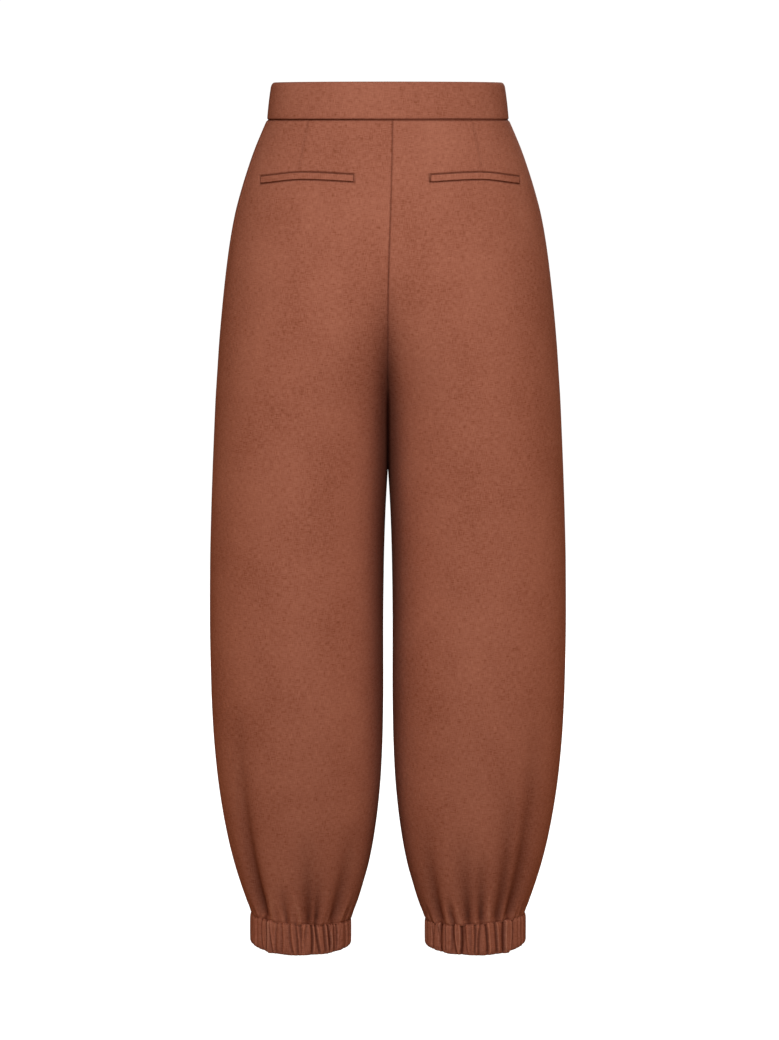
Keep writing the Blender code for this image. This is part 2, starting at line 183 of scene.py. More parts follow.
# The legs. A section gives how far the leg reaches out and in from the centre plane, and its depth to the
# back and to the front. A negative inner reach lies past the centre plane, which cuts the oval along the
# rise.
legs = {
    "sections": [  # drop, outer, inner, back, front
        (0.0420, 0.1375, -0.1375, 0.0970, 0.0940),
        (0.0540, 0.1428, -0.1424, 0.1005, 0.0965),
        (0.0760, 0.1520, -0.1500, 0.1075, 0.1008),
        (0.0990, 0.1601, -0.1545, 0.1135, 0.1038),
        (0.1220, 0.1673, -0.1550, 0.1185, 0.1060),
        (0.1500, 0.1747, -0.1490, 0.1235, 0.1078),
        (0.1840, 0.1809, -0.1350, 0.1272, 0.1090),
        (0.2240, 0.1862, -0.1060, 0.1290, 0.1098),
        (0.2700, 0.1910, -0.0680, 0.1272, 0.1092),
        (0.3000, 0.1936, -0.0440, 0.1243, 0.1080),
        (0.3300, 0.1957, -0.0250, 0.1210, 0.1066),
        (0.3600, 0.1977, -0.0125, 0.1180, 0.1055),
        (0.3900, 0.1992, -0.0055, 0.1155, 0.1045),
        (0.4200, 0.2006, -0.0017, 0.1131, 0.1037),
        (0.4500, 0.2019, 0.0006, 0.1110, 0.1030),
        (0.5000, 0.2037, 0.0032, 0.1080, 0.1020),
        (0.5500, 0.2050, 0.0046, 0.1055, 0.1012),
        (0.6200, 0.2056, 0.0053, 0.1030, 0.1000),
        (0.6900, 0.2046, 0.0052, 0.0995, 0.0975),
        (0.7400, 0.2026, 0.0058, 0.0955, 0.0940),
        (0.7900, 0.1986, 0.0077, 0.0895, 0.0885),
        (0.8300, 0.1934, 0.0110, 0.0835, 0.0825),
        (0.8700, 0.1862, 0.0163, 0.0760, 0.0750),
        (0.9000, 0.1790, 0.0221, 0.0692, 0.0683),
        (0.9250, 0.1715, 0.0289, 0.0625, 0.0617),
        (0.9450, 0.1646, 0.0350, 0.0567, 0.0560),
        (0.9580, 0.1598, 0.0401, 0.0530, 0.0522),
        (0.9680, 0.1580, 0.0438, 0.0508, 0.0500),
    ],
    "top": 0.0423,
    "hem": 0.9627,
    "allowance": 0.0015,  # the seam allowance that runs on inside the waistband and the cuff
    "hemTilt": 0.0035,  # the cuff seam is this much higher outside and lower inside
    "tiltZone": (0.880, 0.963),
    "lean": 0.0051,  # the upper part sits slightly turned, so the centre seams lean
    "leanZone": (0.042, 0.270),
    "sideSeamTurn": {"left": 12, "right": 3},
    "sideSeamZone": (0.120, 0.400),
    "crotchCurve": (0.296, 0.330),  # the drops between which the panels' inner edges turn under
    "outerShare": 11 / 14,  # of the columns, on the leg's round part
    "crowdedShare": 0.95,  # just above the crotch they reach this far round
    "crowdedZone": (0.235, 0.296),
    "edgeColumns": (0, 0.0016, 0.0034, 0.0056, 0.0085, 0.0125, 0.018),  # fine columns for a seam's roll
    "middleColumns": 108,
    "middleSpan": (0.025, 0.975),
    "rows": (  # from, to, spacing
        (0.0408, 0.0480, 0.0007),
        (0.0480, 0.0965, 0.0035),
        (0.0965, 0.1165, 0.0006),
        (0.1165, 0.2960, 0.0040),
        (0.2960, 0.3400, 0.0018),
        (0.3400, 0.8300, 0.0042),
        (0.8300, 0.9150, 0.0022),
        (0.9150, 0.9570, 0.0012),
        (0.9570, 0.9640, 0.0006),
    ),
    "seamRoll": (0.0011, 0.0011),  # depth and width of the groove along a seam
    "sideRoll": (0.0011, 0.0014),
    "rollShare": {"waist": 1.1, "hem": 0.5},  # of seamRoll's depth
    "waveZone": 0.012,  # the cuff seam's waves die away over this height
    "cleft": {  # painted shade between the legs: depth, reach, and the drops where it comes and goes
        "left": (0.56, 0.0165, 0.19, 0.34, 0.55, 0.85),
        "right": (0.50, 0.0120, 0.19, 0.34, 0.55, 0.85),
    },
    # a darker core of painted shade in the gap between the legs near the crotch
    "cleftCore": (1.0, 0.0042, 0.300, 0.370, 0.45, 0.50),
    "dart": (0.0920, 0.1035),  # reach of a back dart at the waist seam and at the pocket
    "dartDepth": 0.0007,
    "dartWidth": 0.0017,
    "grainLine": 0.0900,  # the reach at which the warp hangs plumb
}

# Folds that rise from the gathered hems, placed as in the photo behind, with similar ones in front.
# Angles run from the leg's outer side and are positive towards the back; depth, width and length are
# millimetres.
legFolds = {  # foot angle, top angle, depth, width, length
    "left": [
        (44, 48, 9.5, 12, 280),
        (28, 27, 0.9, 5, 22),
        (66, 67, 1.0, 4, 20),
        (74, 73, 3.2, 5, 52),
        (84, 84, 0.8, 4, 18),
        (98, 95, 4.4, 9, 125),
        (107, 105, 4.4, 6, 85),
        (129, 132, 6.0, 11, 125),
        (150, 149, 1.4, 6, 40),
        (-35, -38, 4.4, 10, 165),
        (-52, -53, 1.2, 5, 30),
        (-64, -62, 2.4, 6, 70),
        (-80, -80, 1.0, 4, 24),
        (-91, -97, 3.4, 8, 125),
        (-117, -116, 2.2, 6, 55),
        (-131, -131, 1.2, 5, 26),
        (-146, -140, 4.0, 9, 140),
    ],
    "right": [
        (36, 34, 1.3, 5, 34),
        (49, 50, 6.0, 12, 270),
        (64, 67, 4.6, 10, 190),
        (72, 71, 1.0, 4, 22),
        (83, 87, 5.8, 7, 100),
        (97, 101, 4.4, 9, 120),
        (115, 116, 3.8, 5, 42),
        (133, 129, 6.2, 10, 128),
        (151, 150, 1.2, 6, 36),
        (-41, -44, 4.6, 10, 175),
        (-56, -56, 1.2, 5, 28),
        (-70, -69, 2.6, 6, 60),
        (-84, -84, 1.0, 4, 22),
        (-97, -92, 3.2, 8, 110),
        (-112, -112, 1.1, 5, 30),
        (-126, -130, 3.0, 8, 85),
        (-152, -147, 3.4, 9, 130),
    ],
    "depthScale": 1.2,
    "darkestDepth": 5.5,  # a fold this deep gets the darkest painted shade
    "darkest": 0.78,
    "crestHighlight": 0.3,  # how far a painted highlight pales the crest beside a fold
    "highlightPlace": (1.25, 0.3),  # the crest's distance and width, in widths of the fold
    "highlightZone": (0.02, 0.05),  # only this near the seam
    "sewnDepth": 0.0016,  # no fold is deeper than this at the seam, so that the cloth stays on the cuff
    "freeDepth": 0.05,
    "freeZone": (-0.002, 0.040),
    "puckerSeed": {"left": 11, "right": 23},
    "puckerCount": 34,  # small ones between them, of uneven length and spacing
    "puckerSpan": (-178, 178),
    "puckerStray": 4.5,  # degrees off an even spacing
    "puckerLean": 2,
    "puckerDepth": (0.6, 2.0),
    "puckerWidth": (1.7, 3.4),
    "puckerLength": (9, 32),
    "ripple": 0.0004,
    "rippleReach": 0.030,
    "seamWave": 0.0009,  # how far the gathers pull the cuff seam up and down
    "waveStart": {"left": 0.7, "right": 2.1},
}


def puckers(side):
    # uneven small folds all round a hem, drawn with a fixed seed for each leg
    draw = np.random.default_rng(legFolds["puckerSeed"][side])
    count, stray, lean = legFolds["puckerCount"], legFolds["puckerStray"], legFolds["puckerLean"]
    foot = np.linspace(*legFolds["puckerSpan"], count, endpoint=False) + draw.uniform(-stray, stray, count)
    depth = draw.uniform(*legFolds["puckerDepth"], count)
    width = draw.uniform(*legFolds["puckerWidth"], count)
    length = draw.uniform(*legFolds["puckerLength"], count)
    return list(zip(foot, foot + draw.uniform(-lean, lean, count), depth, width, length))


def foldRelief(side, angle, height, around):
    # Each fold is a valley that is narrow at its foot, and widens and dies away at its top: depth times
    # the share of its length that is left to the power 1.4, times 0.65 of valley() and 0.35 of a bell 0.4
    # as wide. A fine ripple runs along the seam. It comes with the painted shade in the folds and the
    # painted highlights on the crests beside them.
    relief = np.zeros(np.broadcast(angle, height).shape)
    shade, paintedHighlight = relief.copy(), relief.copy()
    crestPlace, crestWidth = legFolds["highlightPlace"]
    nearSeam = 1 - smoothStep(height, *legFolds["highlightZone"])
    for foot, top, depth, width, length in legFolds[side] + puckers(side):
        share = np.clip(1 - height / (length / 1000), 0, 1)
        middle = np.radians(foot * share + top * (1 - share))
        spread = width / 1000 * (1.9 - 0.9 * share) * (0.7 + 0.3 * smoothStep(height, 0, 0.030))
        away = (angle - middle) * around
        core = bell(away, 0.4 * spread)
        across = 0.65 * valley(away, spread) + 0.35 * core
        relief -= legFolds["depthScale"] * depth / 1000 * share**1.4 * across
        # painted shade in the fold, darker the deeper it is and strongest at its foot
        dark = np.clip(depth / legFolds["darkestDepth"], 0, legFolds["darkest"])
        shade = np.maximum(shade, dark * share * (0.6 * bell(away, 0.95 * spread) + 0.4 * core * share))
        # a painted highlight on the crest beside the fold, near the seam only
        beside = crestPlace if top > foot else -crestPlace
        ridge = bell(away - beside * spread, crestWidth * spread)
        paintedHighlight = np.maximum(paintedHighlight, legFolds["crestHighlight"] * share**3 * ridge * nearSeam)
    reach = np.clip(1 - height / legFolds["rippleReach"], 0, 1) ** 1.5
    relief = relief + legFolds["ripple"] * reach * np.sin(46 * angle + 1.3 * np.sin(5 * angle))
    most = legFolds["sewnDepth"] + legFolds["freeDepth"] * smoothStep(height, *legFolds["freeZone"])
    return limited(relief, most), shade, paintedHighlight


def seamWave(side, angle):
    # the cuff seam's rise and fall between the gathers, in metres
    start = legFolds["waveStart"][side]
    return legFolds["seamWave"] * (0.6 * np.sin(17 * angle + start) + 0.4 * np.sin(29 * angle + 2 * start))


def legSection(angle, drop):
    # A point of the leg's oval, its outward direction, and its mean radius: the oval's half width and
    # depths follow the sections, and its part past the centre plane is pressed flat on that plane.
    tilted = drop - legs["hemTilt"] * smoothStep(drop, *legs["tiltZone"]) * np.cos(angle)
    outer, inner, back, front = readTable(legs["sections"], tilted)
    half = (outer - inner) / 2
    x, y, awayX, awayY = ovalPoint(angle, (outer + inner) / 2, half, np.where(angle >= 0, back, front))
    plane = cloth["seamGap"] / 2
    pressed = x < plane - 1e-9
    x = np.where(pressed, plane, x)
    awayX, awayY = np.where(pressed, -1.0, awayX), np.where(pressed, 0.0, awayY)
    return x, y, tilted, awayX, awayY, (half + back) / 2, outer


def leaned(side, x, y, drop, outer):
    # the turn of the upper part moves the centre seams sideways and leaves the side seams where they are
    lean = legs["lean"] * (1 - smoothStep(drop, *legs["leanZone"]))
    return x + sideSign[side] * lean * np.clip(1 - (x / outer) ** 2, 0, None) * np.where(y < 0, 1, -1)


def panelAngles(side, face, drop, across):
    # a panel's columns run from its side seam to its inner edge, and the last few cover what turns under
    # the crotch
    outer, inner, back, front = readTable(legs["sections"], drop)
    centre, half = (outer + inner) / 2, (outer - inner) / 2
    plane = cloth["seamGap"] / 2
    gap = plane / (back if face == "back" else front)
    turn = math.radians(legs["sideSeamTurn"][side]) * (1 - smoothStep(drop, *legs["sideSeamZone"]))
    start = faceSign[face] * turn + gap
    cut = np.minimum(np.arccos(np.clip((plane - centre) / half, -1, 1)), math.pi - gap)
    begins, ends = legs["crotchCurve"]
    under = np.clip((drop - begins) / (ends - begins), 0, 1)
    end = cut + (math.pi - gap - cut) * (1 - np.sqrt(1 - under**2))
    share = legs["outerShare"]
    crowded = share + (legs["crowdedShare"] - share) * smoothStep(drop, *legs["crowdedZone"])
    bend = np.minimum(start + (cut - start) * crowded, math.pi * share)
    outerPart = start + (bend - start) * across / share
    innerPart = bend + (end - bend) * (across - share) / (1 - share)
    return faceSign[face] * np.where(across < share, outerPart, innerPart)


# The two back pockets: single welts, bowed up a little on the flared hip.
welts = {
    "edge": {  # reach from the centre seam, drop
        "left": [(0.0412, 0.1020), (0.0960, 0.0997), (0.1445, 0.1047)],
        "right": [(0.0430, 0.1022), (0.0990, 0.0997), (0.1478, 0.1050)],
    },
    "height": 0.0088,
    "raised": 0.0009,
    "turnedIn": 0.0022,  # what rolls into the slit above and below
    "groove": (0.0013, 0.0009),  # depth and width of the slit round a welt
    "columns": 200,
    "profileRows": 26,
    "inset": 0.0006,  # the cloth ends this far inside the outline, in the slit
    "sunk": 0.0004,  # and this far under the panel's face
    "rounding": 0.0011,
    "darkRim": 0.0009,
    "tackLength": 0.004,  # the bar tacks run on below the welt's ends
    "tackWidth": 0.0006,
}


def weltDistance(side, reach, drop):
    # signed distance from the welt's outline, negative inside: a rectangle bent along the welt's upper edge
    first, last = welts["edge"][side][0][0], welts["edge"][side][-1][0]
    (upper,) = readTable(welts["edge"][side], np.clip(reach, first, last))
    across = np.abs(reach - (first + last) / 2) - (last - first) / 2
    down = np.abs(drop - upper - welts["height"] / 2) - welts["height"] / 2
    outside = np.hypot(np.maximum(across, 0), np.maximum(down, 0))
    return outside + np.minimum(np.maximum(across, down), 0)


def barTacks(side, reach, drop):
    # a short upright line at each end of the welt, which runs on a little below it
    lines = 0
    for end, upper in (welts["edge"][side][0], welts["edge"][side][-1]):
        beside = bell(reach - end, welts["tackWidth"])
        lower = upper + welts["height"]
        lines = lines + beside * (drop > upper) * (1 - smoothStep(drop, lower, lower + welts["tackLength"]))
    return lines


def panelRelief(side, face, x, y, drop, angle, around, fromSide, fromInner):
    # Everything that lifts or sinks the cloth, and its painted shade and highlights: the folds, a
    # bell-shaped groove along each seam, the dart and the slit round the welt, with painted shade between
    # the legs too. The centre seam's groove sinks towards the front or back, so it comes apart.
    out, shade, paintedHighlight = foldRelief(side, angle, np.clip(legs["hem"] - drop, 0, None), around)
    depth, width = legs["sideRoll"]
    sideGroove = bell(fromSide, width)
    out -= depth * sideGroove
    depth, width = legs["seamRoll"]
    waistGroove = bell(np.clip(drop - legs["top"], 0, None), width)
    hemGroove = bell(np.clip(legs["hem"] - drop, 0, None), width)
    out -= depth * (legs["rollShare"]["waist"] * waistGroove + legs["rollShare"]["hem"] * hemGroove)
    # painted shade along the grooves of the side, waist and hem seams
    shade = np.maximum(shade, paintedShades["sideSeam"] * sideGroove)
    shade = np.maximum.reduce([shade, paintedShades["waistSeam"] * waistGroove, paintedShades["hemSeam"] * hemGroove])
    if face == "back":
        pocketDrop = welts["edge"][side][1][1]
        share = np.clip((drop - legs["top"]) / (pocketDrop - legs["top"]), 0, 1)
        dartReach = legs["dart"][0] + (legs["dart"][1] - legs["dart"][0]) * share
        dart = bell(x - dartReach, legs["dartWidth"]) * (drop < pocketDrop) * (1 - 0.5 * share)
        out -= legs["dartDepth"] * dart
        depth, width = welts["groove"]
        slit = bell(weltDistance(side, x, drop), width)
        out -= depth * slit
        # painted shade in the dart and the slit round the welt, with dark lines at the bar tacks
        tacks = paintedShades["barTack"] * barTacks(side, x, drop)
        shade = np.maximum.reduce([shade, paintedShades["dart"] * dart, paintedShades["pocketSlit"] * slit, tacks])
    # painted shade between the legs, and its darker core near the crotch
    for depth, width, *zone in (legs["cleft"][side], legs["cleftCore"]):
        cleft = bell(x, width) * smoothStep(drop, *zone[:2]) * (1 - smoothStep(drop, *zone[2:]))
        shade = np.maximum(shade, depth * cleft)
    depth, width = legs["seamRoll"]
    seamGroove = bell(fromInner, width) * (1 - smoothStep(drop, *legs["crotchCurve"]))
    # painted shade along the centre seam's groove
    shade = np.maximum(shade, paintedShades["centreSeam"] * seamGroove)
    # the crests' painted highlights pale the cloth only where the painted shade is slight
    return out, depth * seamGroove, np.where(shade > 0.12, shade, shade - paintedHighlight)


def legPanel(side, face, material):
    # the leg's sections between the side seam and the inner edge, with everything from panelRelief
    rows = [np.arange(begin, end, step) for begin, end, step in legs["rows"]]
    drop = np.append(np.concatenate(rows), legs["hem"] + legs["allowance"])[:, None]
    edge = np.array(legs["edgeColumns"])
    middle = np.linspace(*legs["middleSpan"], legs["middleColumns"])
    across = np.concatenate([edge, middle, 1 - edge[::-1]])[None, :]
    angle = panelAngles(side, face, drop, across)
    drop = np.broadcast_to(drop, angle.shape)
    x, y, tilted, awayX, awayY, around, outer = legSection(angle, drop)
    steps = np.hypot(np.diff(x, axis=1), np.diff(y, axis=1))
    along = np.hstack([np.zeros((len(x), 1)), np.cumsum(steps, axis=1)])
    fromInner = along[:, -1:] - along
    out, sunk, shade = panelRelief(side, face, x, y, drop, angle, around, along, fromInner)
    grain = [np.interp(legs["grainLine"], line[::-1], length[::-1]) for line, length in zip(x, along)]
    down = drop + cloth["frontShift"] * (face == "front")
    uv = np.stack([along - np.array(grain)[:, None] + cloth["shift"][side], -down], axis=-1)
    x, y = x + out * awayX, y + out * awayY - sunk * faceSign[face]
    waved = tilted + seamWave(side, angle) * smoothStep(drop, legs["hem"] - legs["waveZone"], legs["hem"])
    x = leaned(side, x, y, drop, outer)
    points = np.stack([sideSign[side] * x, y, topEdge - waved], axis=-1)
    name = f"{face}{side.title()}Panel"
    piece = gridMesh(name, points, uv, shade, flip=sideSign[side] * faceSign[face] < 0)
    thicken(piece)
    length = legs["hem"] - legs["top"]
    flat = (float(along[:, -1].max()), length)
    finishPiece(piece, material, f"{face}_{side}", flat)


# The waistband: one folded, interlined strip, straight and without loops, whose ends lap at the centre
# front.
waistband = {
    "bands": [  # drop, half width, back, front
        (0.0000, 0.1322, 0.0926, 0.0896),
        (0.0210, 0.1349, 0.0950, 0.0920),
        (0.0417, 0.1374, 0.0969, 0.0939),
    ],
    "height": 0.0417,
    "wall": 0.0030,
    "cutLength": 0.735,
    "meanRadius": 0.115,
    "lapDegrees": 16,
    "lapStepDegrees": 3,
    "underDegrees": 1.5,  # the under end runs on this far past the step
    "lapGap": 0.0006,
    "columns": 520,
    "faceRows": 18,
    "roundRows": 6,
    "edgeRound": 0.0017,
    "topLean": (0.0018, 0.0022),  # the folded upper edge leans in by this much over this height
    "swell": 0.0004,  # the interlining holds the face slightly full
    "darkRim": 0.0012,
}


def stripProfile(strip):
    # A folded strip's closed outline as depth in from its outer face and drop: down the outer face, round
    # the lower edge, up the inner face and round the upper edge. The rounds are quarter ellipses, radius
    # by half the wall.
    height, wall, radius = strip["height"], strip["wall"], strip["edgeRound"]
    half = wall / 2
    quarter = np.linspace(0, math.pi / 2, strip["roundRows"], endpoint=False)
    outer = np.linspace(radius, height - radius, strip["faceRows"], endpoint=False)
    inner = np.linspace(height - radius, radius, strip["faceRows"], endpoint=False)
    depth = np.concatenate(
        [
            0 * outer,
            half * (1 - np.cos(quarter)),
            half * (1 + np.sin(quarter)),
            wall + 0 * inner,
            wall - half * (1 - np.cos(quarter)),
            half * (1 - np.sin(quarter)),
        ]
    )
    drop = np.concatenate(
        [
            outer,
            height - radius * (1 - np.sin(quarter)),
            height - radius * (1 - np.cos(quarter)),
            inner,
            radius * (1 - np.sin(quarter)),
            radius * (1 - np.cos(quarter)),
        ]
    )
    return depth, drop


def stripUv(around, profile):
    # metres of cloth round the piece and along the profile, with one more row for the stretch back to its
    # start
    steps = np.hypot(np.diff(profile[0]), np.diff(profile[1]))
    path = np.concatenate([[0], np.cumsum(steps)])[:, None]
    uv = np.stack([around + 0 * path, -path + 0 * around], axis=-1)
    return np.concatenate([uv, uv[-1:] - [0, 0.0005]])


def waistbandPiece(material):
    # The strip's profile carried round the waist's oval, from the under end to the lapped end at the
    # centre front, where it steps out by one wall. The upper edge leans in and the face swells as a
    # parabola between its edges.
    lap = math.radians(waistband["lapDegrees"])
    under = math.radians(waistband["underDegrees"])
    start, end = -math.pi / 2 - lap / 2 - under, 1.5 * math.pi + lap / 2
    turn = np.linspace(start, end, waistband["columns"])[None, :]
    profile = stripProfile(waistband)
    depth, drop = (part[:, None] for part in profile)
    half, back, front = readTable(waistband["bands"], np.broadcast_to(drop, (len(drop), turn.shape[1])))
    x, y, awayX, awayY = ovalPoint(turn, 0, half, np.where(np.sin(turn) >= 0, back, front))
    lapped = smoothStep(turn, end - lap - math.radians(waistband["lapStepDegrees"]), end - lap)
    middle = np.clip(drop * (waistband["height"] - drop) * 4 / waistband["height"] ** 2, 0, 1)
    outer = np.clip(1 - depth / waistband["wall"], 0, 1)
    lean, height = waistband["topLean"]
    out = (waistband["wall"] + waistband["lapGap"]) * lapped - depth + waistband["swell"] * middle * outer
    out = out - lean * np.exp(-((drop / height) ** 1.5))
    points = np.stack([x + out * awayX, y + out * awayY, topEdge - drop + 0 * x], axis=-1)
    uv = stripUv(waistband["meanRadius"] * (turn - start), profile)
    # painted shade along the band's lower edge, at the waist seam
    shade = paintedShades["waistbandEdge"] * bell(waistband["height"] - drop, waistband["darkRim"])
    piece = gridMesh("waistbandCloth", points, uv, shade, wrapRows=True, caps=True)
    finishPiece(piece, material, "waistband", (waistband["cutLength"], waistband["height"]))


# The cuffs: cloth folded round elastic. The photo's creases are placed behind, and similar ones in front.
cuffs = {
    "rings": [  # drop, outer, inner, back, front
        (0.0000, 0.1584, 0.0446, 0.0510, 0.0502),
        (0.0050, 0.1594, 0.0438, 0.0522, 0.0514),
        (0.0310, 0.1592, 0.0440, 0.0520, 0.0512),
        (0.0370, 0.1572, 0.0458, 0.0502, 0.0494),
    ],
    "top": 0.963,
    "height": 0.037,
    "wall": 0.0030,
    "cut": (0.440, 0.038),
    "cutRadius": 0.070,  # of the cloth's ring before the elastic gathers it
    "meanRadius": 0.053,
    "columns": 620,
    "faceRows": 22,
    "roundRows": 5,
    "edgeRound": 0.0018,
    "innerShare": 0.25,  # how much of the relief the inner face shows
    "scallop": 0.0004,
    "hemWave": 0.0003,
    "bow": 1.2,  # degrees by which a crease bends on its way down
    "left": [  # angle at the top, at the bottom, depth and width in millimetres
        (22, 24, 0.6, 1.3),
        (30, 29, 0.7, 1.3),
        (39, 41, 0.9, 1.3),
        (47, 47.5, 2.2, 1.4),
        (51, 56, 1.1, 1.2),
        (63, 61, 0.7, 1.2),
        (68, 68.5, 1.0, 1.2),
        (78, 82, 1.2, 1.4),
        (85, 88, 0.7, 1.1),
        (91, 92.5, 1.0, 1.2),
        (98, 95.5, 1.2, 1.2),
        (103, 103.5, 1.5, 1.3),
        (108, 114, 1.4, 1.3),
        (118, 122, 1.4, 1.4),
        (124, 127, 1.9, 1.3),
        (128.5, 130, 1.2, 0.9),
        (132, 134, 0.9, 1.2),
        (137, 138, 1.2, 0.9),
        (146, 141, 0.8, 1.3),
        (154, 156, 0.7, 1.3),
    ],
    "right": [
        (24, 22, 0.6, 1.3),
        (32, 30, 0.7, 1.2),
        (43, 45, 1.8, 1.4),
        (56, 55.5, 1.9, 1.5),
        (68, 65, 1.5, 1.4),
        (79, 76.5, 1.8, 1.4),
        (85, 87, 0.8, 1.2),
        (92, 92.5, 1.1, 1.1),
        (96, 95, 0.8, 1.1),
        (103, 100, 0.9, 1.1),
        (107, 107.5, 1.7, 1.4),
        (117, 113, 1.4, 1.2),
        (118, 119, 0.8, 1.3),
        (128, 127.5, 1.2, 1.2),
        (134, 135, 2.0, 1.4),
        (139.5, 139, 1.4, 0.9),
        (145, 149, 1.2, 1.3),
        (149.5, 151, 1.4, 0.9),
        (158, 156, 0.7, 1.3),
    ],
    "sides": [
        (1, -2, 0.9, 1.3),
        (11, 12, 1.0, 1.4),
        (-10, -9, 0.8, 1.2),
        (170, 168, 1.0, 1.3),
        (-176, -174, 0.9, 1.3),
    ],
    "frontTurn": (2, 3),  # degrees by which the front's creases differ from the other leg's, top and bottom
    "soft": 0.0006,  # wider fullness between the creases
    "depthScale": 2.3,
    "deepest": 0.0024,
    # a crease this deep gets the darkest painted shade
    "darkestDepth": 0.0025,
    "crestHighlight": 0.5,  # how far a painted highlight pales a crease's lip
    "fullness": 0.0010,  # the pleats stand out by this much, the creases sink in
    "cornerLift": 0.0022,  # the lower edge curves up a little at the ankle's two sides
    "step": (0.0012, 43, 48),  # its outer part is this much higher, up to a crease between these angles
}


def cuffRelief(side, angle, share):
    # Creases that lean from top to bottom, over a wider uneven fullness; the front has the other leg's
    # creases. Across, a crease is half a narrow bell and half a cusp, exp(-a / 2), less a narrow lip on
    # the side it leans to, so that the cloth between two of them is a rounded pleat with one sharper
    # edge. The lips get a painted highlight.
    other = "right" if side == "left" else "left"
    upper, lower = cuffs["frontTurn"]
    creases = cuffs[side] + [(-a - upper, -b - lower, depth, width) for a, b, depth, width in cuffs[other]]
    creases += cuffs["sides"]
    relief = cuffs["soft"] * (np.sin(15 * angle + 1.1) + 0.6 * np.sin(23 * angle + 0.4))
    relief = relief * np.ones_like(share)
    paintedHighlight = 0 * relief
    fading = 1 - 0.55 * smoothStep(share, 0.86, 1.0)
    for index, (top, bottom, depth, width) in enumerate(creases):
        bend = cuffs["bow"] * math.sin(2.4 * index) * np.sin(math.pi * share)
        middle = np.radians(top + (bottom - top) * share + bend)
        turned = (angle - middle + math.pi) % (2 * math.pi) - math.pi
        across = turned * cuffs["meanRadius"] / (width / 1000)
        lip = bell(across - (1.9 if bottom > top else -1.9), 0.8)
        # the lip's painted highlight
        paintedHighlight = np.maximum(paintedHighlight, depth / 2 * lip**2)
        sharp = 0.5 * bell(across, 1) + 0.5 * np.exp(-np.abs(across) / 2)
        relief = relief - cuffs["depthScale"] * depth / 1000 * (sharp - 0.4 * lip) * fading
    return limited(relief + cuffs["fullness"], cuffs["deepest"]), paintedHighlight


def cuffPiece(side, material):
    # The folded strip's profile carried round the ankle's oval, with its outer face creased. Its upper
    # edge follows the tilted, wavy seam, and its lower edge is notched by the creases and curves up at
    # the two sides.
    angle = np.linspace(-math.pi, math.pi, cuffs["columns"], endpoint=False)[None, :]
    profile = stripProfile(cuffs)
    depth, drop = (part[:, None] for part in profile)
    share = drop / cuffs["height"]
    outer, inner, back, front = readTable(cuffs["rings"], np.broadcast_to(drop, (len(drop), angle.shape[1])))
    x, y, awayX, awayY = ovalPoint(
        angle, (outer + inner) / 2, (outer - inner) / 2, np.where(angle >= 0, back, front)
    )
    relief, paintedHighlight = cuffRelief(side, angle, share)
    facing = 1 - (1 - cuffs["innerShare"]) * smoothStep(depth, 0, cuffs["wall"])
    out = relief * facing - depth
    lower = smoothStep(share, 0.6, 1.0)
    tilt = legs["hemTilt"] * np.cos(angle) * (1 - share)
    waved = seamWave(side, angle) * (1 - smoothStep(share, 0, 0.35))
    notches = cuffs["scallop"] * np.clip((relief + 0.0008) / 0.0015, -1, 0)
    notches = notches + cuffs["hemWave"] * np.sin(9 * angle + 0.8)
    step, *stepDegrees = cuffs["step"]
    lifted = cuffs["cornerLift"] * np.cos(angle) ** 4
    lifted = lifted + step * (1 - smoothStep(np.abs(angle), *np.radians(stepDegrees)))
    fall = cuffs["top"] + drop - tilt + waved + (notches - lifted) * lower
    points = np.stack([sideSign[side] * (x + out * awayX), y + out * awayY, topEdge - fall], axis=-1)
    around = np.append(angle, math.pi)[None, :] * cuffs["cutRadius"]
    uv = stripUv(around + cloth["shift"][side], profile)
    # painted shade in the creases, along the cuff's upper seam and over the whole cuff, paled by the lips'
    # painted highlights
    creased = paintedShades["cuffCrease"] * np.clip(-relief / cuffs["darkestDepth"], 0, 1) ** 1.3
    shade = paintedShades["cuffEdge"] * bell(share, 0.04) + paintedShades["cuff"]
    shade = np.clip(shade + (creased - cuffs["crestHighlight"] * paintedHighlight) * facing, -0.5, 1)
    flip = side == "right"
    piece = gridMesh(f"{side}CuffCloth", points, uv, shade, flip=flip, wrapColumns=True, wrapRows=True)
    finishPiece(piece, material, f"cuff_{side}", cuffs["cut"])


def panelPoint(side, face, reach, drop, out):
    # the point of a panel's face, moved out, that lies at this reach from the centre seam and this drop
    outer, inner, back, front = readTable(legs["sections"], drop)
    centre, half = (outer + inner) / 2, (outer - inner) / 2
    angle = faceSign[face] * np.arccos(np.clip((reach - centre) / half, -1, 1))
    x, y, tilted, awayX, awayY, around, outer = legSection(angle, drop)
    x, y = x + out * awayX, y + out * awayY
    return np.stack([sideSign[side] * leaned(side, x, y, drop, outer), y, topEdge - tilted], axis=-1)


